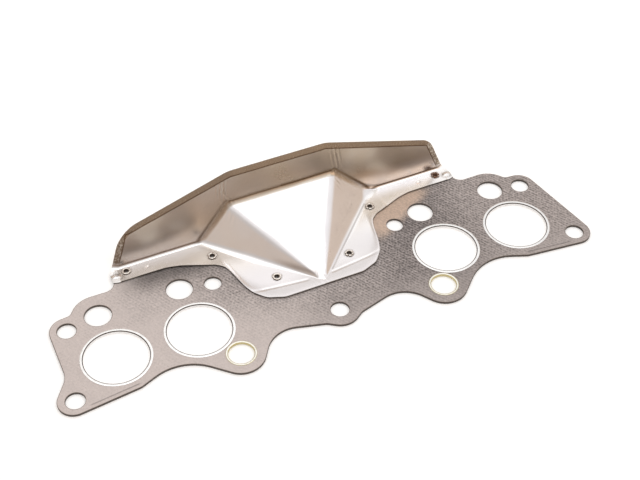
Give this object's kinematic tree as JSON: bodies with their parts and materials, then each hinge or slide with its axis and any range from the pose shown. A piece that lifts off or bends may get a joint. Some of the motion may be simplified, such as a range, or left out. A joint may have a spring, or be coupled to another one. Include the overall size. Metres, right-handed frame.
{
  "type": "exhaust manifold gasket",
  "caption": "Flat exhaust manifold gasket with ringed ports, stud and vent holes, and a folded sheet-metal heat shield riveted along its rear edge.",
  "frame": {"origin": "on the face that meets the cylinder head, where the mid-line crosses the line through the port centres", "axes": "+X along the row of ports, +Y towards the heat shield, +Z away from the cylinder head"},
  "size_m": [0.3337, 0.1121, 0.044],
  "materials": {
    "facing": "matte warm grey pressed graphite and fibre facing",
    "core": "dull perforated steel core sheet",
    "shield": "bright rolled and pressed steel sheet with light stains at the edges",
    "fire_ring": "bright stainless ring, lightly turned",
    "eyelet_ring": "yellow passivated steel",
    "rivet": "pierced steel eyelet, slightly rusty"
  },
  "bodies": {
    "root": {"facing_rear": "facing", "gasket_core": "core", "facing_front": "facing", "fire_ring_1": "fire_ring", "fire_ring_2": "fire_ring", "fire_ring_3": "fire_ring", "fire_ring_4": "fire_ring", "eyelet_ring_left": "eyelet_ring", "eyelet_ring_right": "eyelet_ring", "heat_shield": "shield", "rivet_left_1": "rivet", "rivet_right_1": "rivet", "rivet_left_2": "rivet", "rivet_right_2": "rivet", "rivet_left_3": "rivet", "rivet_right_3": "rivet"}
  },
  "joints": []
}
